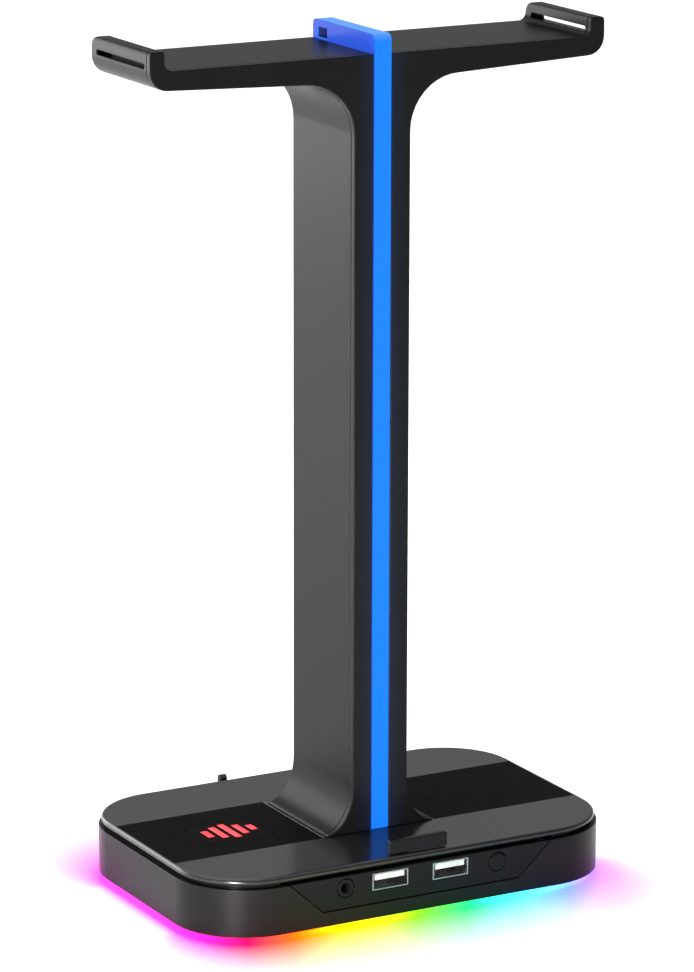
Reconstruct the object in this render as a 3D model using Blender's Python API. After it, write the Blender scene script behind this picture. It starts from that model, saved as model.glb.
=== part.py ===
"""Headphone stand: a T-shaped column with a light guide on a lit base that has two charging sockets,
a headphone jack and a mode button. The front faces -Y, the stand rests on Z = 0."""

import math

import bmesh
import bpy
from mathutils import Vector

MM = 0.001
GAP = 0.3

# Driving dimensions in millimetres.
BASE_WIDTH = 153.0
BASE_DEPTH = 100.0
BASE_CORNER = 25.0
BASE_BOTTOM = 2.5
SHELL_TOP = 18.3
DECK_BOTTOM = 19.1
DECK_TOP = 21.5
DECK_INSET = 0.8
WALL = 2.2
FOOT_RADIUS = 6.0
FOOT_X = 58.0
FOOT_Y = 32.0

COLUMN_WIDTH = 20.0
COLUMN_FRONT = -21.5
COLUMN_BACK = 19.5
COVER_DEPTH = 2.0
TOE_HALF = 20.2
TOE_HEIGHT = 15.0
ARM_TOP = 276.2
ARM_HALF = 81.3
ARM_ROOT_DROP = 8.0
ARM_TIP_DROP = 6.1
ROOT_FILLET = 17.5
TIP_RADIUS = 6.0
LIP_HEIGHT = 6.2
LIP_THICKNESS = 5.0
LIP_FILLET = 2.7
LIP_CORNER = 4.0
SLOT_LENGTH = 34.0
SLOT_HEIGHT = 1.7
SLOT_FALL = 0.7
SLOT_RISE = 1.7
GUIDE_WIDTH = 6.0
GUIDE_HEIGHT = 5.9
GUIDE_DEPTH = 3.6
SEAT_DEPTH = 0.6
NOTCH_DEPTH = 1.8

TAB_HALF = 10.5
TAB_HEIGHT = 5.0

BAND_DEPTH = 42.0
BAND_END = 74.3
BAND_THICKNESS = 0.8

PANEL_TOP_HALF = 48.0
PANEL_BOTTOM_HALF = 36.2
PANEL_BOTTOM = 7.6
PANEL_THICKNESS = 1.6
PORT_Z = 14.5
USB_PITCH = 22.2
USB_MIDDLE = -0.6
USB_WIDTH = 13.1
USB_HEIGHT = 5.7
USB_LENGTH = 14.0
USB_WALL = 0.4
JACK_X = -28.0
BUTTON_X = 28.0
ROUND_Z = 14.2
BUTTON_RADIUS = 3.0
BUTTON_TRAVEL = 0.6
BUTTON_PROUD = 0.55

GLAND_X = -19.6
GLAND_Z = 14.6
GLAND_RADIUS = 2.6
GLAND_LENGTH = 8.6
FIN_HALF = 1.2
FIN_RISE = 0.7

MID_Y = (COLUMN_FRONT + COLUMN_BACK) / 2
PANEL_FACE = -BASE_DEPTH / 2 + 0.2
ARC_STEPS = 10


def clear_scene():
    for old in list(bpy.data.objects):
        bpy.data.objects.remove(old, do_unlink=True)


def material(name, colour, roughness, metallic=0.0):
    made = bpy.data.materials.get(name)
    if made:
        return made
    made = bpy.data.materials.new(name)
    made.use_nodes = True
    shader = made.node_tree.nodes["Principled BSDF"]
    shader.inputs["Base Color"].default_value = (*colour, 1.0)
    shader.inputs["Roughness"].default_value = roughness
    shader.inputs["Metallic"].default_value = metallic
    return made


def satin_black():
    return material("satin_black", (0.030, 0.030, 0.032), 0.42)


def gloss_black():
    return material("gloss_black", (0.014, 0.014, 0.016), 0.12)


def blue_guide():
    return material("blue_guide", (0.03, 0.22, 1.0), 0.25)


def frosted_white():
    return material("frosted_white", (0.85, 0.87, 0.90), 0.45)


def red_lens():
    return material("red_lens", (0.45, 0.01, 0.02), 0.25)


def plated_steel():
    return material("plated_steel", (0.72, 0.73, 0.75), 0.25, 1.0)


def dark_steel():
    return material("dark_steel", (0.20, 0.20, 0.21), 0.45, 1.0)


def circuit_green():
    return material("circuit_green", (0.02, 0.14, 0.06), 0.4)


def rubber_black():
    return material("rubber_black", (0.02, 0.02, 0.02), 0.85)


def add_object(name, mesh, surface, place=(0, 0, 0)):
    node = bpy.data.objects.new(name, mesh)
    bpy.context.scene.collection.objects.link(node)
    node.location = Vector(place) * MM
    if surface:
        mesh.materials.append(surface)
    return node


def arc(centre_x, centre_y, radius_x, radius_y, start, end, steps=ARC_STEPS):
    """Points on an arc, with angles in degrees."""
    points = []
    for i in range(steps + 1):
        angle = math.radians(start + (end - start) * i / steps)
        points.append((centre_x + radius_x * math.cos(angle), centre_y + radius_y * math.sin(angle)))
    return points


def rounded_rectangle(width, depth, radius, steps=ARC_STEPS):
    x = width / 2 - radius
    y = depth / 2 - radius
    return (
        arc(x, y, radius, radius, 0, 90, steps)
        + arc(-x, y, radius, radius, 90, 180, steps)
        + arc(-x, -y, radius, radius, 180, 270, steps)
        + arc(x, -y, radius, radius, 270, 360, steps)
    )


def circle(radius, steps=32, centre=(0, 0)):
    return arc(centre[0], centre[1], radius, radius, 0, 360 * (steps - 1) / steps, steps - 1)


def flat_xy(x, y, level):
    return (x, y, level)


def flat_xz(x, z, level):
    return (x, level, z)


def flat_yz(y, z, level):
    return (level, y, z)


def prism(name, outline, low, high, surface=None, plane=flat_xy, place=(0, 0, 0)):
    """An outline extruded from one level to another, across the plane that its points lie in."""
    mesh = bpy.data.meshes.new(name)
    build = bmesh.new()
    rings = []
    for level in (low, high):
        rings.append([build.verts.new(Vector(plane(a, b, level)) * MM) for a, b in outline])
    build.faces.new(rings[0][::-1])
    build.faces.new(rings[1])
    count = len(outline)
    for i in range(count):
        j = (i + 1) % count
        build.faces.new((rings[0][i], rings[0][j], rings[1][j], rings[1][i]))
    bmesh.ops.recalc_face_normals(build, faces=build.faces[:])
    build.to_mesh(mesh)
    build.free()
    return add_object(name, mesh, surface, place)


def box(name, x, y, z, surface=None, place=(0, 0, 0)):
    """A box from its low and high values along each axis."""
    outline = [(x[0], y[0]), (x[1], y[0]), (x[1], y[1]), (x[0], y[1])]
    return prism(name, outline, z[0], z[1], surface, flat_xy, place)


def ring(name, outer, inner, low, high, surface, place=(0, 0, 0)):
    """A closed wall between two outlines that have the same number of points."""
    mesh = bpy.data.meshes.new(name)
    build = bmesh.new()
    loops = []
    for outline, level in ((outer, low), (outer, high), (inner, high), (inner, low)):
        loops.append([build.verts.new(Vector((x, y, level)) * MM) for x, y in outline])
    count = len(outer)
    for k in range(4):
        here = loops[k]
        there = loops[(k + 1) % 4]
        for i in range(count):
            j = (i + 1) % count
            build.faces.new((here[i], here[j], there[j], there[i]))
    bmesh.ops.recalc_face_normals(build, faces=build.faces[:])
    build.to_mesh(mesh)
    build.free()
    return add_object(name, mesh, surface, place)


def turned(name, profile, surface, place=(0, 0, 0), axis="Z", steps=32):
    """A closed solid of revolution from (radius, height) points that start and end on the axis."""
    mesh = bpy.data.meshes.new(name)
    build = bmesh.new()
    lines = []
    for radius, height in profile:
        if radius == 0:
            lines.append([build.verts.new((0, 0, height * MM))])
            continue
        points = circle(radius, steps)
        lines.append([build.verts.new((x * MM, y * MM, height * MM)) for x, y in points])
    for a, b in zip(lines, lines[1:]):
        for i in range(steps):
            j = (i + 1) % steps
            corners = [a[i % len(a)], a[j % len(a)], b[j % len(b)], b[i % len(b)]]
            build.faces.new(list(dict.fromkeys(corners)))
    bmesh.ops.recalc_face_normals(build, faces=build.faces[:])
    build.to_mesh(mesh)
    build.free()
    node = add_object(name, mesh, surface, place)
    if axis == "Y":
        node.rotation_euler = (math.pi / 2, 0, 0)
    return node


def soften(node, width, segments=2, angle=30):
    bevel = node.modifiers.new("edge_round", "BEVEL")
    bevel.width = width * MM
    bevel.segments = segments
    bevel.limit_method = "ANGLE"
    bevel.angle_limit = math.radians(angle)
    bevel.harden_normals = False
    return node


def hide_cutter(cutter):
    cutter.hide_render = True
    cutter.display_type = "WIRE"
    return cutter


def cut(node, cutter):
    boolean = node.modifiers.new("cut_" + cutter.name, "BOOLEAN")
    boolean.operation = "DIFFERENCE"
    boolean.solver = "EXACT"
    boolean.object = hide_cutter(cutter)
    return node


def smooth(node, angle=35):
    for face in node.data.polygons:
        face.use_smooth = True
    node.data.set_sharp_from_angle(angle=math.radians(angle))
    return node


def base_outline(inset):
    return rounded_rectangle(BASE_WIDTH - 2 * inset, BASE_DEPTH - 2 * inset, BASE_CORNER - inset)


def panel_outline(grow, rise=0.0):
    """The front panel's trapezoid in X and Z. Its slanted ends can run on past the shell's top."""
    slope = (PANEL_TOP_HALF - PANEL_BOTTOM_HALF) / (SHELL_TOP - PANEL_BOTTOM)
    bottom = PANEL_BOTTOM_HALF + grow - slope * grow
    top = PANEL_TOP_HALF + grow + slope * rise
    return [
        (-bottom, PANEL_BOTTOM - grow),
        (bottom, PANEL_BOTTOM - grow),
        (top, SHELL_TOP + rise),
        (-top, SHELL_TOP + rise),
    ]


def base_shell():
    shell = ring("base_shell", base_outline(0), base_outline(WALL), BASE_BOTTOM, SHELL_TOP, satin_black())
    front = -BASE_DEPTH / 2
    window = panel_outline(GAP * 1.5, 1.0)
    cut(shell, prism("panel_window", window, front - 2, front + WALL + 1, None, flat_xz))
    gland = circle(GLAND_RADIUS + GAP, 24, (GLAND_X, GLAND_Z))
    cut(shell, prism("gland_hole", gland, -front - WALL - 1, -front + 2, None, flat_xz))
    return smooth(shell)


def band_outline(side, grow=0.0):
    inner = TOE_HALF + 0.6 - grow
    outer = BAND_END + grow
    half = BAND_DEPTH / 2 + grow
    if side < 0:
        inner, outer = -outer, -inner
    return [(inner, -half), (outer, -half), (outer, half), (inner, half)]


def base_deck():
    deck = prism("base_deck", base_outline(DECK_INSET), DECK_BOTTOM, DECK_TOP, satin_black())
    soften(deck, 1.4, 3)
    for side, word in ((-1, "left"), (1, "right")):
        floor = DECK_TOP - BAND_THICKNESS
        cut(deck, prism("band_pocket_" + word, band_outline(side, GAP), floor, DECK_TOP + 2))
    cut(deck, box("lead_hole", (-5, 5), (-14, -8), (DECK_BOTTOM - 2, DECK_TOP + 2)))
    for i, (x, y) in enumerate(column_screw_places()):
        hole = circle(2.0, 20, (x, y))
        cut(deck, prism(f"deck_screw_hole_{i + 1}", hole, DECK_BOTTOM - 2, DECK_TOP + 2))
    return smooth(deck)


def deck_spacer():
    """The dark spacer frame that closes the groove between the deck and the shell."""
    low = SHELL_TOP - 3.0
    outer = base_outline(WALL + GAP)
    inner = base_outline(WALL + GAP + 1.8)
    frame = ring("deck_spacer", outer, inner, low, DECK_BOTTOM - GAP / 2, satin_black())
    cut(frame, box("spacer_gap", (-50.5, 50.5), (-60, -40), (low - 2, DECK_BOTTOM + 2)))
    reach = GLAND_RADIUS + GAP
    gland_top = GLAND_Z + GLAND_RADIUS + GAP
    cut(frame, box("spacer_notch", (GLAND_X - reach, GLAND_X + reach), (40, 60), (low - 2, gland_top)))
    return smooth(frame)


def deck_bands():
    for side, word in ((-1, "left"), (1, "right")):
        low = DECK_TOP - BAND_THICKNESS + 0.15
        band = prism("deck_band_" + word, band_outline(side), low, DECK_TOP - 0.1, gloss_black())
        if side < 0:
            window = badge_outline(GAP)
            cut(band, prism("badge_window", window, low - 1, DECK_TOP + 1))


def badge_outline(grow):
    width = 24.0 + 2 * grow
    points = rounded_rectangle(width, width * 0.8, 3.0, 6)
    return [(x - 44.0, y) for x, y in points]


def badge_lens():
    low = DECK_TOP - BAND_THICKNESS + 0.15
    prism("badge_lens", badge_outline(0), low, DECK_TOP - 0.1, red_lens())


def front_tab():
    depth = (-BASE_DEPTH / 2 + 2.4, -BASE_DEPTH / 2 + 4.6)
    height = (DECK_TOP + GAP, DECK_TOP + TAB_HEIGHT)
    tab = box("front_tab", (-TAB_HALF, TAB_HALF), depth, height, gloss_black())
    return smooth(soften(tab, 0.5, 2))


def base_bottom():
    plate = prism("base_bottom", base_outline(8.0), BASE_BOTTOM, BASE_BOTTOM + 2.0, satin_black())
    for i, (x, y) in enumerate(base_screw_places()):
        hole = circle(1.9, 20, (x, y))
        cut(plate, prism(f"bottom_screw_hole_{i + 1}", hole, BASE_BOTTOM - 2, BASE_BOTTOM + 4))
    return plate


def glow_diffuser():
    outer = base_outline(WALL + GAP)
    inner = base_outline(8.0 - GAP)
    return smooth(ring("glow_diffuser", outer, inner, BASE_BOTTOM - 0.5, BASE_BOTTOM + 2.0, frosted_white()))


def glow_board():
    outer = base_outline(WALL + 1.0)
    inner = base_outline(WALL + 7.0)
    low = BASE_BOTTOM + 2.0 + GAP
    return ring("glow_board", outer, inner, low, low + 1.2, circuit_green())


def ballast_plate():
    low = BASE_BOTTOM + 2.0 + GAP
    outline = rounded_rectangle(112.0, 66.0, 6.0, 5)
    return prism("ballast_plate", outline, low, low + 3.2, dark_steel())


def main_board():
    low = 9.4
    board = box("main_board", (-40, 40), (-46.5, -14), (low, low + 1.4), circuit_green())
    return board


def usb_places():
    return [("left", USB_MIDDLE - USB_PITCH / 2), ("right", USB_MIDDLE + USB_PITCH / 2)]


def front_panel():
    face = PANEL_FACE
    panel = prism("front_panel", panel_outline(0), face, face + PANEL_THICKNESS, gloss_black(), flat_xz)
    for word, x in usb_places():
        half_x = USB_WIDTH / 2 + GAP
        half_z = USB_HEIGHT / 2 + GAP
        deep = (face - 2, face + 4)
        height = (PORT_Z - half_z, PORT_Z + half_z)
        cut(panel, box("usb_window_" + word, (x - half_x, x + half_x), deep, height))
    for word, x, radius in (("jack", JACK_X, 3.0), ("button", BUTTON_X, BUTTON_RADIUS)):
        hole = circle(radius + GAP, 32, (x, ROUND_Z))
        cut(panel, prism(word + "_window", hole, face - 2, face + 4, None, flat_xz))
    return panel


def usb_socket(word, x):
    front = PANEL_FACE + 0.1
    back = front + USB_LENGTH
    wide = USB_WIDTH / 2
    tall = USB_HEIGHT / 2
    socket = box("usb_shell_" + word, (-wide, wide), (front, back), (-tall, tall),
                 plated_steel(), (x, 0, PORT_Z))
    inside = box("usb_inside_" + word, (-wide + USB_WALL, wide - USB_WALL), (front - 2, back - 1.5),
                 (-tall + USB_WALL, tall - USB_WALL), None, (x, 0, PORT_Z))
    cut(socket, inside)
    tongue_front = front + 0.8
    low = tall - USB_WALL - 0.35 - 1.84
    box("usb_tongue_" + word, (-5.5, 5.5), (tongue_front, back - 1.5 - GAP), (low, low + 1.84),
        frosted_white(), (x, 0, PORT_Z))


def audio_jack():
    """The jack's threaded-look barrel with a blind bore that the plug enters from the front."""
    length = 12.0
    profile = [(0, 0), (2.9, 0), (2.9, length), (1.85, length), (1.85, 1.5), (0, 1.5)]
    place = (JACK_X, PANEL_FACE + 0.1 + length, ROUND_Z)
    return smooth(turned("audio_jack", profile, gloss_black(), place, "Y"))


def mode_button():
    """The key cap and its stem. Its origin is on the axis it is pressed along."""
    profile = [(0, -6.0), (1.2, -6.0), (1.2, -2.2), (3.7, -2.2), (3.7, -1.6), (3.0, -1.6)]
    profile += [(3.0, 0.1), (2.6, 0.4), (0, BUTTON_PROUD)]
    return smooth(turned("mode_button", profile, satin_black(), (BUTTON_X, PANEL_FACE, ROUND_Z), "Y"))


def switch_body():
    front = PANEL_FACE + 6.0 + GAP + BUTTON_TRAVEL
    body = box("switch_body", (BUTTON_X - 3, BUTTON_X + 3), (front, front + 3.4),
               (ROUND_Z - 2.8, ROUND_Z + 2.6), dark_steel())
    return body


def arm_underside(x):
    """Height of the arm's underside, which rises a little from root to tip."""
    root = COLUMN_WIDTH / 2 + ROOT_FILLET
    share = (abs(x) - root) / (ARM_HALF - TIP_RADIUS - root)
    return ARM_TOP - ARM_ROOT_DROP + (ARM_ROOT_DROP - ARM_TIP_DROP) * share


def tee_half():
    """The right half of the front outline in X and Z, from the toe up to the arm's top centre."""
    half = COLUMN_WIDTH / 2
    root = half + ROOT_FILLET
    base = DECK_TOP + GAP
    flare = TOE_HALF - half
    points = arc(TOE_HALF, base + TOE_HEIGHT, flare, TOE_HEIGHT, 270, 180)
    points += arc(root, arm_underside(root) - ROOT_FILLET, ROOT_FILLET, ROOT_FILLET, 180, 90)
    tip = ARM_HALF - TIP_RADIUS
    points += arc(tip, arm_underside(tip) + TIP_RADIUS, TIP_RADIUS, TIP_RADIUS, 270, 360, 6)
    top = ARM_TOP + LIP_HEIGHT
    inner = ARM_HALF - LIP_THICKNESS
    points += arc(ARM_HALF - 1.3, top - 1.3, 1.3, 1.3, 0, 90, 4)
    points += arc(inner + 0.8, top - 0.8, 0.8, 0.8, 90, 180, 3)
    points += arc(inner - LIP_FILLET, ARM_TOP + LIP_FILLET, LIP_FILLET, LIP_FILLET, 0, -90, 5)
    return points


def tee_outline():
    right = tee_half()
    left = [(-x, z) for x, z in right[::-1]]
    return right + left


def pocket_half(wall):
    """The inner outline of the hollow column, one wall inside the outer one, without the tips."""
    half = COLUMN_WIDTH / 2 - wall
    root = COLUMN_WIDTH / 2 + ROOT_FILLET
    reach = ROOT_FILLET + wall
    base = DECK_TOP + GAP + 3.0
    centre = arm_underside(root) - ROOT_FILLET
    tip = ARM_HALF - LIP_THICKNESS - 6.0
    points = [(half, base)]
    points += arc(root, centre, reach, reach, 180, 90)
    points += [(tip, arm_underside(tip) + wall), (tip, ARM_TOP - wall)]
    return points


def lip_slot(side, word):
    """A slot cutter with round ends that falls a little towards the outside."""
    half = SLOT_LENGTH / 2 - SLOT_HEIGHT / 2
    radius = SLOT_HEIGHT / 2
    middle = ARM_TOP + SLOT_RISE
    ends = arc(half, 0, radius, radius, -90, 90, 6) + arc(-half, 0, radius, radius, 90, 270, 6)
    outline = [(MID_Y + y, z) for y, z in ends]
    slot = prism("lip_slot_" + word, outline, -LIP_THICKNESS * 2, LIP_THICKNESS * 2, None, flat_yz)
    slot.location = Vector((side * (ARM_HALF - LIP_THICKNESS / 2), 0, middle)) * MM
    slot.rotation_euler = (0, side * math.atan2(SLOT_FALL, LIP_THICKNESS), 0)
    return slot


def lip_corner(side, word):
    """What is rounded off the rear top corner of a lip."""
    top = ARM_TOP + LIP_HEIGHT
    radius = LIP_CORNER
    outline = arc(COLUMN_BACK - radius, top - radius, radius, radius, 0, 90, 8)
    outline += [(COLUMN_BACK - radius, top + 2), (COLUMN_BACK + 2, top + 2), (COLUMN_BACK + 2, top - radius)]
    start = side * (ARM_HALF + 2)
    end = side * (ARM_HALF - 12)
    return prism("lip_corner_" + word, outline, min(start, end), max(start, end), None, flat_yz)


def column_body():
    """The hollow T-shaped moulding, open at the front, that the covers close."""
    front = COLUMN_FRONT + COVER_DEPTH + GAP
    body = prism("column_body", tee_outline(), front, COLUMN_BACK, satin_black(), flat_xz)
    soften(body, 0.5, 2)
    right = pocket_half(2.2)
    pocket = right + [(-x, z) for x, z in right[::-1]]
    cut(body, prism("column_pocket", pocket, front - 5, COLUMN_BACK - 2.4, None, flat_xz))
    reach = GUIDE_WIDTH / 2 + GAP
    cut(body, box("guide_channel", (-reach, reach), (front - 2, COLUMN_FRONT + GUIDE_DEPTH + GAP),
                  (DECK_TOP - 1, ARM_TOP + 1)))
    seat_z = (ARM_TOP - SEAT_DEPTH, ARM_TOP + 1)
    cut(body, box("guide_seat", (-reach, reach), (front - 2, COLUMN_BACK + 2), seat_z))
    cut(body, box("column_lead_hole", (-4, 4), (-14, -8), (DECK_TOP - 2, DECK_TOP + 8)))
    for side, word in ((-1, "left"), (1, "right")):
        cut(body, lip_slot(side, word))
        cut(body, lip_corner(side, word))
    for i, (x, y) in enumerate(column_screw_places()):
        hole = circle(1.5, 20, (x, y))
        cut(body, prism(f"column_screw_hole_{i + 1}", hole, DECK_TOP - 2, DECK_TOP + 7.5))
    return smooth(body)


def front_cover(side, word):
    """One half of the flush front cover, beside the light guide."""
    outline = [(side * x, z) for x, z in tee_half()]
    edge = side * (GUIDE_WIDTH / 2 + GAP)
    outline += [(edge, ARM_TOP), (edge, DECK_TOP + GAP)]
    back = COLUMN_FRONT + COVER_DEPTH
    cover = prism("front_cover_" + word, outline, COLUMN_FRONT, back, satin_black(), flat_xz)
    return smooth(soften(cover, 0.6, 2))


def light_guide():
    half = GUIDE_WIDTH / 2
    front = COLUMN_FRONT - 0.1
    back = COLUMN_FRONT + GUIDE_DEPTH
    bar_low = ARM_TOP - SEAT_DEPTH + GAP
    bar_high = ARM_TOP + GUIDE_HEIGHT + GAP
    outline = [(front, DECK_TOP + GAP), (back, DECK_TOP + GAP), (back, bar_low)]
    outline += [(COLUMN_BACK - 0.3, bar_low)]
    outline += arc(COLUMN_BACK - 2.1, bar_high - 1.8, 1.8, 1.8, 0, 90, 4)
    outline += arc(front + 2.2, bar_high - 2.2, 2.2, 2.2, 90, 180, 5)
    guide = prism("light_guide", outline, -half, half, blue_guide(), flat_yz)
    notch_y = (COLUMN_BACK - 9.8, COLUMN_BACK - 3.8)
    cut(guide, box("guide_notch", (-half - 1, -half + NOTCH_DEPTH), notch_y, (ARM_TOP + 0.4, ARM_TOP + 3.9)))
    return smooth(guide)


def led_strip():
    back = COLUMN_FRONT + GUIDE_DEPTH + GAP
    return box("led_strip", (-2.4, 2.4), (back, back + 1.2), (DECK_TOP + 9, ARM_TOP - 6), circuit_green())


def column_lead():
    return box("column_lead", (-2.5, 2.5), (-12, -11), (13.2, DECK_TOP + 60), frosted_white())


def column_screw_places():
    return [(x, y) for y in (-16.0, 14.0) for x in (-9.4, 9.4)]


def base_screw_places():
    return [(x, y) for y in (-36.0, 36.0) for x in (-30.0, 30.0)]


def screw(name, place, head, length):
    """A pan-head screw that points up, with its head below."""
    profile = [(0, -2.0), (head * 0.7, -2.0), (head, -1.3), (head, 0)]
    profile += [(1.2, 0), (1.2, length - 0.8), (0, length)]
    return smooth(turned(name, profile, dark_steel(), place, "Z", 20))


def screws():
    for i, (x, y) in enumerate(column_screw_places()):
        screw(f"column_screw_{i + 1}", (x, y, DECK_BOTTOM - GAP), 3.2, 9.0)
    for i, (x, y) in enumerate(base_screw_places()):
        screw(f"base_screw_{i + 1}", (x, y, BASE_BOTTOM + 1.9), 1.5, 2.0)


def rubber_feet():
    corners = (("front_left", -1, -1), ("front_right", 1, -1), ("rear_left", -1, 1), ("rear_right", 1, 1))
    for word, x, y in corners:
        profile = [(0, 0), (FOOT_RADIUS - 0.5, 0), (FOOT_RADIUS, 0.5), (FOOT_RADIUS, BASE_BOTTOM - 0.15)]
        profile += [(0, BASE_BOTTOM - 0.15)]
        smooth(turned("foot_" + word, profile, rubber_black(), (x * FOOT_X, y * FOOT_Y, 0)))


def cable_gland():
    """The sleeve at the back that the supply cord would come out of, with the fin that guards its bend."""
    length = GLAND_LENGTH
    radius = GLAND_RADIUS
    bore = 1.6
    profile = [(0, 0), (radius, 0), (radius, length - 0.6), (radius - 0.5, length)]
    profile += [(bore, length), (bore, 1.2), (0, 1.2)]
    wall = BASE_DEPTH / 2
    gland = turned("cable_gland", profile, rubber_black(), (GLAND_X, wall - WALL - 1.0, GLAND_Z), "Y", 24)
    gland.rotation_euler = (-math.pi / 2, 0, 0)
    top = DECK_TOP + FIN_RISE
    rear = wall + 3.8
    outline = [(rear, GLAND_Z + 2.0), (rear, top - 1.1), (rear - 0.5, top - 0.2), (rear - 1.2, top)]
    outline += [(rear - 1.9, top - 0.2), (rear - 2.4, top - 1.1), (rear - 2.4, GLAND_Z + 2.0)]
    fin = hide_cutter(prism("gland_fin", outline, GLAND_X - FIN_HALF, GLAND_X + FIN_HALF, None, flat_yz))
    union = gland.modifiers.new("add_fin", "BOOLEAN")
    union.operation = "UNION"
    union.solver = "EXACT"
    union.object = fin
    return smooth(gland)


def build_stand():
    clear_scene()
    base_shell()
    base_deck()
    deck_spacer()
    deck_bands()
    badge_lens()
    front_tab()
    base_bottom()
    glow_diffuser()
    glow_board()
    ballast_plate()
    main_board()
    front_panel()
    for word, x in usb_places():
        usb_socket(word, x)
    audio_jack()
    mode_button()
    switch_body()
    column_body()
    front_cover(-1, "left")
    front_cover(1, "right")
    light_guide()
    led_strip()
    column_lead()
    screws()
    rubber_feet()
    cable_gland()


def centre_on_origin():
    """Hangs everything from an empty, so that the origin is under the middle of the outer box."""
    frame = bpy.data.objects.new("stand_frame", None)
    bpy.context.scene.collection.objects.link(frame)
    front = PANEL_FACE - BUTTON_PROUD
    rear = BASE_DEPTH / 2 - WALL - 1.0 + GLAND_LENGTH
    frame.location = (0, -(front + rear) / 2 * MM, 0)
    for node in bpy.context.scene.objects:
        if node is not frame:
            node.parent = frame


build_stand()
centre_on_origin()
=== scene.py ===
"""Looks of the headphone stand: materials, lit parts, small fittings, floor, lights and camera."""

import math

import bmesh
import bpy
from mathutils import Matrix, Vector

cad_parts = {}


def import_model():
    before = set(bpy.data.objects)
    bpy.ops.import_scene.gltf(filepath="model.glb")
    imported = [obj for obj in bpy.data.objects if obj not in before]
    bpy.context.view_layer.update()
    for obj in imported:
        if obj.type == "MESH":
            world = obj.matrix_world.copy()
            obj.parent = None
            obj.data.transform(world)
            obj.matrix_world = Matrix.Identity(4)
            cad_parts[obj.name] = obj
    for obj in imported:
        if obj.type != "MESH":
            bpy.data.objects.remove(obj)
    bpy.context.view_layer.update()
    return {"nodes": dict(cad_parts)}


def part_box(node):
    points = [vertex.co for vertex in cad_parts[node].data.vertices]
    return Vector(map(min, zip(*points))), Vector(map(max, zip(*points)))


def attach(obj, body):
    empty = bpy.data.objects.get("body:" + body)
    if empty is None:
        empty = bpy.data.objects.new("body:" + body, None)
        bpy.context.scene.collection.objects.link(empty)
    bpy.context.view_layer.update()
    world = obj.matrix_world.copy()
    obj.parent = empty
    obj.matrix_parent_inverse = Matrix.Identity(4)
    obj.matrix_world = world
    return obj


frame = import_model()
NODES = frame["nodes"]
MM = 0.001

# The camera looks at a point inside the stand from the front left.
CAMERA_AZIMUTH = -28.75
CAMERA_ELEVATION = 14.18
CAMERA_ROLL = 0.14
CAMERA_DISTANCE = 1.513
CAMERA_AIM = Vector((0.0007, 0.0, 0.1313))
CAMERA_LENS = 172.5

CAMERA_REACH = 200.0

# How strongly each surface mirrors the room, as the shader's Specular IOR Level.
SATIN_SHEEN = 0.085
SHELL_SHEEN = 0.14
DECK_SHEEN = 0.46
GLOSS_SHEEN = 0.10
GUIDE_SHEEN = 0.03
DULL_SHEEN = 0.01

# Edges up to these angles are shaded smooth, and corners closer than MERGE_DISTANCE are joined first.
CAD_SHARP_DEGREES = 32
PIECE_SHARP_DEGREES = 35
MERGE_DISTANCE = 0.000005

# A noise texture's values lie mostly between these.
NOISE_LOW = 0.3
NOISE_HIGH = 0.7

# Lighter colour on an edge, partly wear and partly a painted edge highlight, starts where the rounded and
# flat normals agree less than FLAT_AGREE.
FLAT_AGREE = 0.995
WORN_AND_HIGHLIT_AGREE = 0.85

# Blue light painted on the covers as emission, this far from the strip.
PAINTED_LEAK_REACH = 0.007
PAINTED_LEAK_COLOUR = (0.001, 0.006, 0.022)

# The base's hues run from left to right along X plus RAINBOW_LEAN times Y.
RAINBOW_LEAN = -0.55
RAINBOW_START = -0.078
RAINBOW_END = 0.104
RAINBOW_STOPS = (
    (0.0, (1.0, 0.06, 0.80)),
    (0.14, (1.0, 0.02, 0.50)),
    (0.24, (1.0, 0.0, 0.12)),
    (0.33, (1.0, 0.16, 0.0)),
    (0.45, (1.0, 0.78, 0.0)),
    (0.58, (0.25, 0.95, 0.02)),
    (0.68, (0.02, 0.9, 0.25)),
    (0.79, (0.12, 0.78, 0.95)),
    (0.89, (0.25, 0.38, 1.0)),
    (1.0, (0.95, 0.20, 1.0)),
)
RING_GLOW = 2.2

# The pocket in the light bar, from the bar's rear and top, which a dark block fills as painted shade.
KEYWAY_FRONT = 0.0094
KEYWAY_BACK = 0.0036
KEYWAY_TOP = 0.0024
KEYWAY_LOW = 0.0057

# The emblem's bars: their lengths as shares of the longest, and half the longest as a share of the lens.
EMBLEM_BARS = (0.45, 0.8, 1.0, 0.65, 0.35)
EMBLEM_HALF_LENGTH = 0.36
EMBLEM_BAR_HALF_WIDTH = 1.1 * MM

# The sockets' contacts. The two outer ones, for power, reach further back.
CONTACTS = 4
CONTACT_HALF_WIDTH = 0.55 * MM
CONTACT_SETBACK = 0.6 * MM
POWER_CONTACT = 6.4 * MM
DATA_CONTACT = 5.4 * MM

# The jack's sleeve.
SLEEVE_INNER = 1.45 * MM
SLEEVE_OUTER = 1.84 * MM
SLEEVE_SETBACK = 0.25 * MM
SLEEVE_LENGTH = 6 * MM

# The strip's lamps, and the main board's packages: left, front, width, depth and height, in millimetres.
LAMP_PITCH = 8.0 * MM
LAMP_HALF = 1.4 * MM
LAMP_HEIGHT = 0.28 * MM
PACKAGES = ((-18, 16, 5, 5, 1.2), (4, 18, 4, 3, 1.0), (20, 14, 3.2, 2.6, 0.9), (30, 20, 2.4, 1.6, 0.7))

# The floor: its size and brightness, and how far the base's glow, painted on the floor as colour and
# emission, reaches over it.
FLOOR_HALF = 60.0
FLOOR_TONE = (0.80, 0.80, 0.80)
FLOOR_LIFT = 0.70
GLOW_FRONT = 0.068
GLOW_SIDE = 0.010
GLOW_FALL = 1.7
BASE_CORNER = 0.025

# The room's light along two axes of the view direction: where it starts, where it is full, and its least.
ROOM_RAMPS = (("Y", -0.6, 0.2, 0.03), ("Z", 0.15, 0.7, 0.30))


# Node helpers


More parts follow.
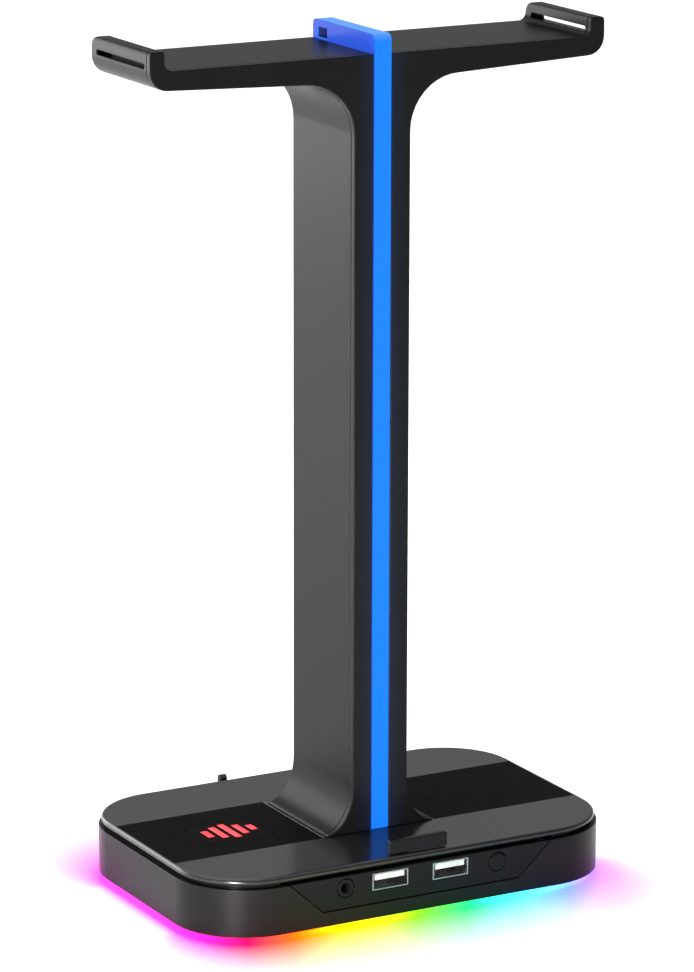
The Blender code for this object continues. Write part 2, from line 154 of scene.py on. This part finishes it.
class Surface:
    """A Principled material whose nodes are added one after another."""

    def __init__(self, name, colour, roughness, metallic=0.0):
        self.material = bpy.data.materials.new(name)
        self.material.use_nodes = True
        self.tree = self.material.node_tree
        self.shader = self.tree.nodes["Principled BSDF"]
        self.shader.inputs["Base Color"].default_value = (*colour, 1.0)
        self.shader.inputs["Roughness"].default_value = roughness
        self.shader.inputs["Metallic"].default_value = metallic
        self.colour = colour
        self.roughness = roughness
        self.place = self.add("ShaderNodeTexCoord")
        self.edge = None

    def add(self, kind, **values):
        node = self.tree.nodes.new(kind)
        for key, value in values.items():
            setattr(node, key, value)
        return node

    def link(self, start, end):
        self.tree.links.new(start, end)

    def calc(self, kind, *values, clamp=False):
        """One step of arithmetic on numbers or other nodes' values."""
        node = self.add("ShaderNodeMath", operation=kind, use_clamp=clamp)
        for socket, value in zip(node.inputs, values):
            if isinstance(value, (int, float)):
                socket.default_value = value
            else:
                self.link(value, socket)
        return node.outputs["Value"]

    def axes(self, vector=None):
        """The X, Y and Z of a vector, or of the place on the surface."""
        split = self.add("ShaderNodeSeparateXYZ")
        if vector is None:
            vector = self.place.outputs["Object"]
        self.link(vector, split.inputs["Vector"])
        return split.outputs

    def remap(self, value, low, high, start=0.0, end=1.0, **values):
        """A number from start to end, as the value goes from low to high."""
        node = self.add("ShaderNodeMapRange", **values)
        node.inputs["From Min"].default_value = low
        node.inputs["From Max"].default_value = high
        node.inputs["To Min"].default_value = start
        node.inputs["To Max"].default_value = end
        self.link(value, node.inputs["Value"])
        return node.outputs["Result"]

    def noise(self, scale, detail=3.0, stretch=None):
        node = self.add("ShaderNodeTexNoise")
        node.inputs["Scale"].default_value = scale
        node.inputs["Detail"].default_value = detail
        if stretch:
            mapping = self.add("ShaderNodeMapping")
            mapping.inputs["Scale"].default_value = stretch
            self.link(self.place.outputs["Object"], mapping.inputs["Vector"])
            self.link(mapping.outputs["Vector"], node.inputs["Vector"])
        else:
            self.link(self.place.outputs["Object"], node.inputs["Vector"])
        return node.outputs["Fac"]

    def spread(self, value, low, high):
        """A noise value turned into a range."""
        return self.remap(value, NOISE_LOW, NOISE_HIGH, low, high)

    def mix(self, share, first, second):
        node = self.add("ShaderNodeMix", data_type="RGBA")
        self.link(share, node.inputs["Factor"])
        for socket, value in ((node.inputs["A"], first), (node.inputs["B"], second)):
            if isinstance(value, tuple):
                socket.default_value = (*value, 1.0)
            else:
                self.link(value, socket)
        return node.outputs["Result"]

    def worn_and_highlit_edges(self, amount):
        """A share that is high only along edges, where the rounded normal leaves the flat one: rubbed wear
        and a painted edge highlight.
        """
        self.edge = self.add("ShaderNodeBevel", samples=4)
        flat = self.add("ShaderNodeNewGeometry")
        agree = self.add("ShaderNodeVectorMath", operation="DOT_PRODUCT")
        self.link(self.edge.outputs["Normal"], agree.inputs[0])
        self.link(flat.outputs["Normal"], agree.inputs[1])
        worn_and_highlit = self.remap(agree.outputs["Value"], FLAT_AGREE, WORN_AND_HIGHLIT_AGREE, 0.0, amount)
        return self.calc("MULTIPLY", worn_and_highlit, self.spread(self.noise(260.0), 0.2, 1.0))

    def bump(self, height, strength, distance, soft_edge=0.0003):
        """Fine relief on top of slightly rounded edges."""
        bump = self.add("ShaderNodeBump")
        bump.inputs["Strength"].default_value = strength
        bump.inputs["Distance"].default_value = distance
        self.link(height, bump.inputs["Height"])
        edge = self.edge or self.add("ShaderNodeBevel", samples=4)
        edge.inputs["Radius"].default_value = soft_edge
        self.link(edge.outputs["Normal"], bump.inputs["Normal"])
        self.link(bump.outputs["Normal"], self.shader.inputs["Normal"])

    def finish(self, tone, tone_scale, rough_spread, rough_scale, wear_and_highlight=0.0, wear_and_highlight_colour=None):
        """Colour that drifts to a second tone, roughness that varies, and edges lightened as rubbed wear and
        as a painted edge highlight.
        """
        colour = self.mix(self.spread(self.noise(tone_scale), 0.0, 1.0), self.colour, tone)
        # Edges turn lighter: partly rubbed wear, partly a painted edge highlight.
        if wear_and_highlight:
            colour = self.mix(self.worn_and_highlit_edges(wear_and_highlight), colour, wear_and_highlight_colour)
        self.link(colour, self.shader.inputs["Base Color"])
        low = self.roughness * (1 - rough_spread)
        high = self.roughness * (1 + rough_spread)
        self.link(self.spread(self.noise(rough_scale, 4.0), low, high), self.shader.inputs["Roughness"])

    def sheen(self, level):
        self.shader.inputs["Specular IOR Level"].default_value = level

    def vary_roughness(self, scale, low, high):
        self.link(self.spread(self.noise(scale), low, high), self.shader.inputs["Roughness"])

    def glow(self, colour, strength):
        """Light that the surface gives off, of one colour or of a node's."""
        socket = self.shader.inputs["Emission Color"]
        if isinstance(colour, tuple):
            socket.default_value = (*colour, 1.0)
        else:
            self.link(colour, socket)
        self.shader.inputs["Emission Strength"].default_value = strength


def column_surface(name):
    """The column's satin plastic, which its body and its covers share."""
    made = Surface(name, (0.0058, 0.0058, 0.0060), 0.33)
    made.finish((0.0066, 0.0066, 0.0068), 55.0, 0.06, 320.0, 0.5, (0.045, 0.045, 0.047))
    made.sheen(SATIN_SHEEN)
    made.bump(made.noise(2600.0, 2.0), 0.06, 0.00003, 0.0007)
    return made


def satin_plastic():
    return column_surface("satin_moulded_plastic").material


def cover_plastic():
    """The column's plastic, with a little blue light painted on it as emission beside the strip."""
    made = column_surface("satin_cover_plastic")
    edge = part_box("light_guide")[1].x
    away = made.calc("ABSOLUTE", made.axes()["X"])
    painted_leak = made.remap(away, edge, edge + PAINTED_LEAK_REACH, 1.0, 0.0, interpolation_type="SMOOTHSTEP")
    # The covers give off blue light here: painted light beside the strip.
    made.shader.inputs["Emission Color"].default_value = (*PAINTED_LEAK_COLOUR, 1.0)
    made.link(painted_leak, made.shader.inputs["Emission Strength"])
    return made.material


def shell_plastic():
    made = Surface("satin_shell_plastic", (0.0050, 0.0050, 0.0052), 0.34)
    made.finish((0.0056, 0.0056, 0.0058), 55.0, 0.06, 320.0, 0.5, (0.040, 0.040, 0.042))
    made.sheen(SHELL_SHEEN)
    made.bump(made.noise(2600.0, 2.0), 0.05, 0.00003, 0.0005)
    return made.material


def deck_plastic():
    made = Surface("satin_deck_plastic", (0.012, 0.012, 0.0125), 0.22)
    made.finish((0.0132, 0.0132, 0.0137), 60.0, 0.08, 300.0, 0.5, (0.036, 0.036, 0.037))
    made.sheen(DECK_SHEEN)
    made.bump(made.noise(2400.0, 2.0), 0.04, 0.00003, 0.0005)
    return made.material


def gloss_plastic():
    made = Surface("gloss_black_plastic", (0.005, 0.005, 0.0055), 0.18)
    made.finish((0.0058, 0.0058, 0.0063), 45.0, 0.20, 120.0, 0.25, (0.018, 0.018, 0.02))
    made.sheen(GLOSS_SHEEN)
    made.bump(made.noise(18.0, 2.0), 0.03, 0.0001)
    return made.material


def band_plastic():
    made = Surface("brushed_band_plastic", (0.0055, 0.0055, 0.0058), 0.50)
    made.finish((0.0062, 0.0062, 0.0066), 70.0, 0.08, 200.0, 0.5, (0.04, 0.04, 0.043))
    made.sheen(DULL_SHEEN)
    made.bump(made.noise(140.0, 3.0, (1.0, 40.0, 1.0)), 0.08, 0.00003)
    return made.material


def blue_light():
    """The diffusing guide: a clear blue in front, paler on top as a painted highlight, and more violet on
    the sides.
    """
    made = Surface("lit_blue_guide", (0.004, 0.03, 0.20), 0.26)
    low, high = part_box("light_guide")
    rise = made.remap(made.axes()["Z"], low.z, high.z)
    lit = made.mix(rise, (0.006, 0.195, 0.93), (0.010, 0.215, 0.93))
    shape = made.add("ShaderNodeNewGeometry")
    facing = made.axes(shape.outputs["Normal"])
    violet = made.mix(made.calc("ABSOLUTE", facing["X"]), lit, (0.018, 0.072, 0.60))
    # Faces that look up are painted paler: a painted highlight from above.
    pale_painted_top = made.mix(made.calc("MAXIMUM", facing["Z"], 0.0), violet, (0.10, 0.33, 0.80))
    cloudy = made.mix(made.spread(made.noise(160.0), 0.0, 0.05), pale_painted_top, (0.004, 0.11, 0.75))
    made.glow(cloudy, 1.0)
    made.vary_roughness(400.0, 0.22, 0.32)
    made.sheen(GUIDE_SHEEN)
    made.bump(made.noise(900.0), 0.03, 0.00003, 0.00025)
    return made.material


def tongue_white():
    made = Surface("socket_tongue", (0.52, 0.52, 0.52), 0.38)
    made.finish((0.44, 0.44, 0.45), 300.0, 0.15, 700.0)
    # A faint white glow is painted on the tongue, though it gives no light of its own.
    made.glow((1.0, 1.0, 1.0), 0.04)
    made.bump(made.noise(1400.0), 0.06, 0.00003, 0.0001)
    return made.material


def lens_red():
    made = Surface("smoked_red_lens", (0.0060, 0.0053, 0.0055), 0.45)
    made.finish((0.0068, 0.0057, 0.0060), 90.0, 0.10, 160.0)
    made.sheen(DULL_SHEEN)
    made.bump(made.noise(500.0), 0.05, 0.00003)
    return made.material


def lit_red():
    made = Surface("lit_red_bar", (0.8, 0.02, 0.03), 0.3)
    tone = made.mix(made.spread(made.noise(220.0), 0.0, 1.0), (0.95, 0.015, 0.035), (1.0, 0.06, 0.07))
    made.glow(tone, 1.3)
    made.bump(made.noise(900.0), 0.05, 0.00003)
    return made.material


def rainbow_colour(made):
    """Hue that runs round the base, from magenta at the left through red, yellow and green to blue."""
    place = made.axes()
    along = made.calc("MULTIPLY_ADD", place["Y"], RAINBOW_LEAN, place["X"])
    share = made.remap(along, RAINBOW_START, RAINBOW_END)
    ramp = made.add("ShaderNodeValToRGB")
    elements = ramp.color_ramp.elements
    while len(elements) < len(RAINBOW_STOPS):
        elements.new(0.5)
    for element, (position, colour) in zip(elements, RAINBOW_STOPS):
        element.position = position
        element.color = (*colour, 1.0)
    made.link(share, ramp.inputs["Fac"])
    return ramp.outputs["Color"]


def frosted_glow():
    made = Surface("lit_frosted_ring", (0.8, 0.8, 0.82), 0.45)
    made.glow(rainbow_colour(made), RING_GLOW)
    made.vary_roughness(300.0, 0.38, 0.52)
    made.bump(made.noise(900.0), 0.08, 0.00004)
    return made.material


def ribbon_plastic():
    made = Surface("ribbon_lead", (0.72, 0.73, 0.75), 0.5)
    made.finish((0.60, 0.61, 0.64), 90.0, 0.2, 300.0)
    made.bump(made.noise(260.0, 2.0, (60.0, 1.0, 1.0)), 0.3, 0.0001)
    return made.material


def plated_metal():
    made = Surface("plated_steel_sheet", (0.36, 0.36, 0.37), 0.30, 1.0)
    made.finish((0.28, 0.28, 0.30), 160.0, 0.25, 500.0, 0.4, (0.60, 0.60, 0.62))
    made.bump(made.noise(900.0, 3.0, (1.0, 1.0, 12.0)), 0.08, 0.00003, 0.00015)
    return made.material


def gold_metal():
    made = Surface("gold_contacts", (0.86, 0.60, 0.22), 0.25, 1.0)
    made.finish((0.78, 0.52, 0.18), 400.0, 0.25, 900.0)
    made.bump(made.noise(1500.0), 0.05, 0.00002, 0.0001)
    return made.material


def dark_metal():
    made = Surface("phosphated_steel", (0.17, 0.17, 0.18), 0.42, 1.0)
    made.finish((0.11, 0.11, 0.12), 200.0, 0.25, 700.0, 0.6, (0.4, 0.4, 0.42))
    made.bump(made.noise(1300.0), 0.12, 0.00004)
    return made.material


def board_green():
    made = Surface("solder_mask_green", (0.012, 0.10, 0.045), 0.35)
    made.finish((0.02, 0.16, 0.07), 220.0, 0.2, 400.0)
    made.bump(made.noise(500.0, 2.0, (1.0, 8.0, 1.0)), 0.25, 0.00005)
    return made.material


def chip_black():
    made = Surface("chip_epoxy", (0.02, 0.02, 0.022), 0.6)
    made.finish((0.03, 0.03, 0.032), 600.0, 0.15, 1200.0)
    made.bump(made.noise(3500.0), 0.2, 0.00003)
    return made.material


def lamp_white():
    made = Surface("lamp_package", (0.85, 0.84, 0.75), 0.4)
    made.finish((0.92, 0.90, 0.80), 500.0, 0.2, 900.0)
    made.glow((1.0, 0.95, 0.85), 0.3)
    made.bump(made.noise(1500.0), 0.08, 0.00003)
    return made.material


def matt_rubber():
    made = Surface("matt_rubber", (0.018, 0.018, 0.018), 0.82)
    made.finish((0.028, 0.028, 0.028), 240.0, 0.12, 700.0, 0.5, (0.06, 0.06, 0.06))
    made.bump(made.noise(1800.0, 4.0), 0.35, 0.00008)
    return made.material


# CAD nodes: smooth shading and their materials


def smooth_shading():
    """A node group that joins split corners and shades everything smooth except sharp edges."""
    group = bpy.data.node_groups.new("smooth_by_angle", "GeometryNodeTree")
    group.interface.new_socket("Geometry", in_out="INPUT", socket_type="NodeSocketGeometry")
    group.interface.new_socket("Geometry", in_out="OUTPUT", socket_type="NodeSocketGeometry")
    start = group.nodes.new("NodeGroupInput")
    end = group.nodes.new("NodeGroupOutput")
    merge = group.nodes.new("GeometryNodeMergeByDistance")
    merge.inputs["Distance"].default_value = MERGE_DISTANCE
    faces = group.nodes.new("GeometryNodeSetShadeSmooth")
    angle = group.nodes.new("GeometryNodeInputMeshEdgeAngle")
    sharp = group.nodes.new("FunctionNodeCompare")
    sharp.data_type = "FLOAT"
    sharp.operation = "GREATER_THAN"
    sharp.inputs["B"].default_value = math.radians(CAD_SHARP_DEGREES)
    edges = group.nodes.new("GeometryNodeSetShadeSmooth")
    edges.domain = "EDGE"
    edges.inputs["Shade Smooth"].default_value = False
    group.links.new(start.outputs["Geometry"], merge.inputs["Geometry"])
    group.links.new(merge.outputs["Geometry"], faces.inputs["Geometry"])
    group.links.new(angle.outputs["Unsigned Angle"], sharp.inputs["A"])
    group.links.new(faces.outputs["Geometry"], edges.inputs["Geometry"])
    group.links.new(sharp.outputs["Result"], edges.inputs["Selection"])
    group.links.new(edges.outputs["Geometry"], end.inputs["Geometry"])
    return group


def dress(names, material, group):
    """Gives CAD nodes their material, rounded faces a smooth shading and flat faces a flat one."""
    for name in names:
        node = NODES[name]
        node.data.materials.clear()
        node.data.materials.append(material)
        shade = node.modifiers.new("smooth_by_angle", "NODES")
        shade.node_group = group
        weigh = node.modifiers.new("flat_faces_stay_flat", "WEIGHTED_NORMAL")
        weigh.mode = "FACE_AREA_WITH_ANGLE"
        weigh.keep_sharp = True


def dress_all():
    """A material for every CAD node."""
    group = smooth_shading()
    finishes = {
        satin_plastic: ["column_body"],
        cover_plastic: ["front_cover_left", "front_cover_right"],
        shell_plastic: ["base_shell", "base_bottom"],
        deck_plastic: ["base_deck"],
        gloss_plastic: ["front_panel", "front_tab", "deck_spacer", "audio_jack", "mode_button"],
        tongue_white: ["usb_tongue_left", "usb_tongue_right"],
        band_plastic: ["deck_band_left", "deck_band_right"],
        blue_light: ["light_guide"],
        lens_red: ["badge_lens"],
        frosted_glow: ["glow_diffuser"],
        ribbon_plastic: ["column_lead"],
        plated_metal: ["usb_shell_left", "usb_shell_right"],
        dark_metal: ["ballast_plate", "switch_body"]
        + [f"{kind}_screw_{i}" for kind in ("column", "base") for i in range(1, 5)],
        board_green: ["glow_board", "main_board", "led_strip"],
        matt_rubber: [f"foot_{end}_{side}" for end in ("front", "rear") for side in ("left", "right")]
        + ["cable_gland"],
    }
    for make, names in finishes.items():
        dress(names, make(), group)


# Added pieces


def piece(name, build, material, body="stand"):
    """A piece of the object that CAD doesn't have, which moves with a body."""
    mesh = bpy.data.meshes.new(name)
    bmesh.ops.recalc_face_normals(build, faces=build.faces[:])
    build.to_mesh(mesh)
    build.free()
    for face in mesh.polygons:
        face.use_smooth = True
    mesh.set_sharp_from_angle(angle=math.radians(PIECE_SHARP_DEGREES))
    made = bpy.data.objects.new(name, mesh)
    bpy.context.scene.collection.objects.link(made)
    mesh.materials.append(material)
    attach(made, body)


def soft_block(build, low, high, radius, segments=2):
    """A block with rounded edges between two corners."""
    middle = (low + high) / 2
    size = high - low
    matrix = Matrix.Translation(middle) @ Matrix.Diagonal((*size, 1.0))
    made = bmesh.ops.create_cube(build, size=1.0, matrix=matrix)
    edges = list({edge for vert in made["verts"] for edge in vert.link_edges})
    bmesh.ops.bevel(build, geom=edges, offset=radius, segments=segments, profile=0.5, affect="EDGES")


def turned_ring(build, centre, inner, outer, front, back, steps=40):
    """A ring round the Y axis with softened front edges."""
    ease = (outer - inner) * 0.3
    profile = ((inner, back), (inner, front + ease), (inner + ease, front), (outer - ease, front),
               (outer, front + ease), (outer, back))
    loops = []
    for radius, y in profile:
        loop = []
        for i in range(steps):
            angle = 2 * math.pi * i / steps
            across = centre.x + radius * math.cos(angle)
            loop.append(build.verts.new((across, y, centre.z + radius * math.sin(angle))))
        loops.append(loop)
    for k in range(len(loops)):
        here = loops[k]
        there = loops[(k + 1) % len(loops)]
        for i in range(steps):
            j = (i + 1) % steps
            build.faces.new((here[i], here[j], there[j], there[i]))


def emblem():
    """Level-meter bars with round ends, set into the lens."""
    low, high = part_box("badge_lens")
    build = bmesh.new()
    middle = (low + high) / 2
    pitch = (high.x - low.x) / (len(EMBLEM_BARS) + 1)
    for i, share in enumerate(EMBLEM_BARS):
        x = low.x + pitch * (i + 1)
        half = share * (high.y - low.y) * EMBLEM_HALF_LENGTH
        start = Vector((x - EMBLEM_BAR_HALF_WIDTH, middle.y - half, high.z - 0.15 * MM))
        end = Vector((x + EMBLEM_BAR_HALF_WIDTH, middle.y + half, high.z + 0.08 * MM))
        soft_block(build, start, end, 0.1 * MM)
    piece("emblem_bars", build, lit_red())


def usb_details(word, gold):
    """Four contacts under the tongue."""
    low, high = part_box("usb_tongue_" + word)
    build = bmesh.new()
    span = high.x - low.x
    for i in range(CONTACTS):
        x = low.x + span * (i + 0.5) / CONTACTS
        deep = POWER_CONTACT if i in (0, CONTACTS - 1) else DATA_CONTACT
        front = low.y + CONTACT_SETBACK
        start = Vector((x - CONTACT_HALF_WIDTH, front, low.z - 0.12 * MM))
        end = Vector((x + CONTACT_HALF_WIDTH, front + deep, low.z + 0.05 * MM))
        soft_block(build, start, end, 0.05 * MM, 1)
    piece("usb_contacts_" + word, build, gold)


def jack_sleeve(gloss):
    """The sleeve inside the jack."""
    low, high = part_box("audio_jack")
    middle = (low + high) / 2
    build = bmesh.new()
    front = low.y + SLEEVE_SETBACK
    turned_ring(build, middle, SLEEVE_INNER, SLEEVE_OUTER, front, low.y + SLEEVE_LENGTH)
    piece("jack_sleeve", build, gloss)


def keyway_shade_block():
    """A dark block in the pocket near the back of the light bar's left side: painted shade in the pocket."""
    low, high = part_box("light_guide")
    made = Surface("dark_blue_painted_shade", (0.004, 0.008, 0.05), 0.5)
    made.finish((0.003, 0.006, 0.04), 300.0, 0.10, 500.0)
    made.glow((0.001, 0.008, 0.10), 1.0)
    made.sheen(DULL_SHEEN)
    made.bump(made.noise(1200.0), 0.05, 0.00003, 0.0001)
    near = Vector((low.x + 0.2 * MM, high.y - KEYWAY_FRONT, high.z - KEYWAY_TOP))
    far = Vector((low.x + 1.6 * MM, high.y - KEYWAY_BACK, high.z - KEYWAY_LOW))
    build = bmesh.new()
    soft_block(build, Vector((near.x, near.y, far.z)), Vector((far.x, far.y, near.z)), 0.15 * MM, 2)
    piece("keyway_shade_block", build, made.material)


def lamps(light, chip):
    """Lamp packages along the column's strip, and chips on the main board."""
    low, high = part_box("led_strip")
    build = bmesh.new()
    count = int((high.z - low.z) / LAMP_PITCH)
    for i in range(count):
        z = low.z + (i + 0.5) * (high.z - low.z) / count
        start = Vector((-LAMP_HALF, low.y - LAMP_HEIGHT, z - LAMP_HALF))
        soft_block(build, start, Vector((LAMP_HALF, low.y, z + LAMP_HALF)), 0.1 * MM, 1)
    piece("strip_lamps", build, light)
    low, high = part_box("main_board")
    build = bmesh.new()
    for x, y, wide, deep, tall in PACKAGES:
        centre = Vector((x * MM, low.y + y * MM, high.z))
        reach = Vector((wide * MM / 2, deep * MM / 2, 0))
        soft_block(build, centre - reach, centre + reach + Vector((0, 0, tall * MM)), 0.12 * MM, 1)
    piece("board_chips", build, chip)


# Stage, lights and camera


def floor():
    """A pale floor with the base's coloured glow painted on it as colour and emission, which fades with
    distance.
    """
    build = bmesh.new()
    bmesh.ops.create_grid(build, x_segments=8, y_segments=8, size=FLOOR_HALF)
    mesh = bpy.data.meshes.new("floor")
    build.to_mesh(mesh)
    build.free()
    made = bpy.data.objects.new("floor", mesh)
    bpy.context.scene.collection.objects.link(made)
    low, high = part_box("base_shell")
    surface = Surface("pale_floor", FLOOR_TONE, 0.6)
    centre = (low + high) / 2
    place = surface.axes()
    # How far a point lies outside the base's rounded outline.
    beyond = []
    for axis, middle, half in (("X", centre.x, (high.x - low.x) / 2), ("Y", centre.y, (high.y - low.y) / 2)):
        size = surface.calc("ABSOLUTE", surface.calc("SUBTRACT", place[axis], middle))
        past = surface.calc("SUBTRACT", size, half - BASE_CORNER)
        beyond.append(surface.calc("MAXIMUM", past, 0.0))
    join = surface.add("ShaderNodeCombineXYZ")
    surface.link(beyond[0], join.inputs["X"])
    surface.link(beyond[1], join.inputs["Y"])
    length = surface.add("ShaderNodeVectorMath", operation="LENGTH")
    surface.link(join.outputs["Vector"], length.inputs[0])
    away = surface.calc("SUBTRACT", length.outputs["Value"], BASE_CORNER)
    lean = surface.calc("DIVIDE", beyond[1], length.outputs["Value"])
    reach = surface.calc("MULTIPLY_ADD", lean, GLOW_FRONT - GLOW_SIDE, GLOW_SIDE)
    left = surface.calc("SUBTRACT", 1.0, surface.calc("DIVIDE", away, reach), clamp=True)
    painted_glow_share = surface.calc("POWER", left, GLOW_FALL)
    # The glow is painted: near the base the floor's colour and emission turn to the base's hues.
    surface.link(surface.mix(painted_glow_share, FLOOR_TONE, rainbow_colour(surface)), surface.shader.inputs["Base Color"])
    lift_and_painted_glow = surface.mix(painted_glow_share, (1.0, 1.0, 1.0), rainbow_colour(surface))
    surface.glow(lift_and_painted_glow, FLOOR_LIFT)
    mesh.materials.append(surface.material)


def area_light(name, place, target, power, size, size_y):
    """A soft light that the camera doesn't see."""
    data = bpy.data.lights.new(name, "AREA")
    data.shape = "RECTANGLE"
    data.size = size
    data.size_y = size_y
    data.energy = power
    made = bpy.data.objects.new(name, data)
    bpy.context.scene.collection.objects.link(made)
    made.location = place
    made.rotation_euler = (Vector(target) - Vector(place)).to_track_quat("-Z", "Y").to_euler()
    made.visible_camera = False


def world():
    """A pale room, darker in front and towards the horizon, so that the stand's faces stay dark."""
    made = bpy.data.worlds.new("studio")
    made.use_nodes = True
    tree = made.node_tree
    back = tree.nodes["Background"]
    place = tree.nodes.new("ShaderNodeTexCoord")
    split = tree.nodes.new("ShaderNodeSeparateXYZ")
    tree.links.new(place.outputs["Generated"], split.inputs["Vector"])
    shares = []
    for axis, low, high, least in ROOM_RAMPS:
        ramp = tree.nodes.new("ShaderNodeMapRange")
        ramp.interpolation_type = "SMOOTHSTEP"
        ramp.inputs["From Min"].default_value = low
        ramp.inputs["From Max"].default_value = high
        ramp.inputs["To Min"].default_value = least
        ramp.inputs["To Max"].default_value = 1.0
        tree.links.new(split.outputs[axis], ramp.inputs["Value"])
        shares.append(ramp.outputs["Result"])
    both = tree.nodes.new("ShaderNodeMath")
    both.operation = "MULTIPLY"
    tree.links.new(shares[0], both.inputs[0])
    tree.links.new(shares[1], both.inputs[1])
    tree.links.new(both.outputs["Value"], back.inputs["Strength"])
    back.inputs["Color"].default_value = (1.0, 1.0, 1.0, 1.0)
    bpy.context.scene.world = made


def lights():
    area_light("top_softbox", (0.0, 0.3, 1.7), (0, 0, 0.1), power=13, size=1.7, size_y=1.7)
    area_light("left_softbox", (-0.45, 0.82, 0.30), (0, 0, 0.28), power=7.2, size=0.9, size_y=0.5)
    corner = (-0.07, -0.045, 0.015)
    area_light("corner_strip", (-0.255, -0.25, 0.045), corner, power=2.2, size=0.045, size_y=0.08)


def camera():
    data = bpy.data.cameras.new("camera")
    data.lens = CAMERA_LENS
    data.sensor_width = 36.0
    data.clip_end = CAMERA_REACH
    made = bpy.data.objects.new("camera", data)
    bpy.context.scene.collection.objects.link(made)
    around = math.radians(CAMERA_AZIMUTH)
    above = math.radians(CAMERA_ELEVATION)
    away = Vector((math.sin(around) * math.cos(above), -math.cos(around) * math.cos(above), math.sin(above)))
    right = Vector((math.cos(around), math.sin(around), 0))
    turn = Matrix.Rotation(math.radians(CAMERA_ROLL), 3, away)
    axes = Matrix((turn @ right, turn @ away.cross(right), away)).transposed()
    made.matrix_world = Matrix.Translation(CAMERA_AIM + away * CAMERA_DISTANCE) @ axes.to_4x4()
    bpy.context.scene.camera = made


def build():
    dress_all()
    emblem()
    gold = gold_metal()
    for word in ("left", "right"):
        usb_details(word, gold)
    jack_sleeve(gloss_plastic())
    keyway_shade_block()
    lamps(lamp_white(), chip_black())
    floor()
    world()
    lights()
    camera()
    bpy.context.scene.view_settings.view_transform = "Standard"


build()
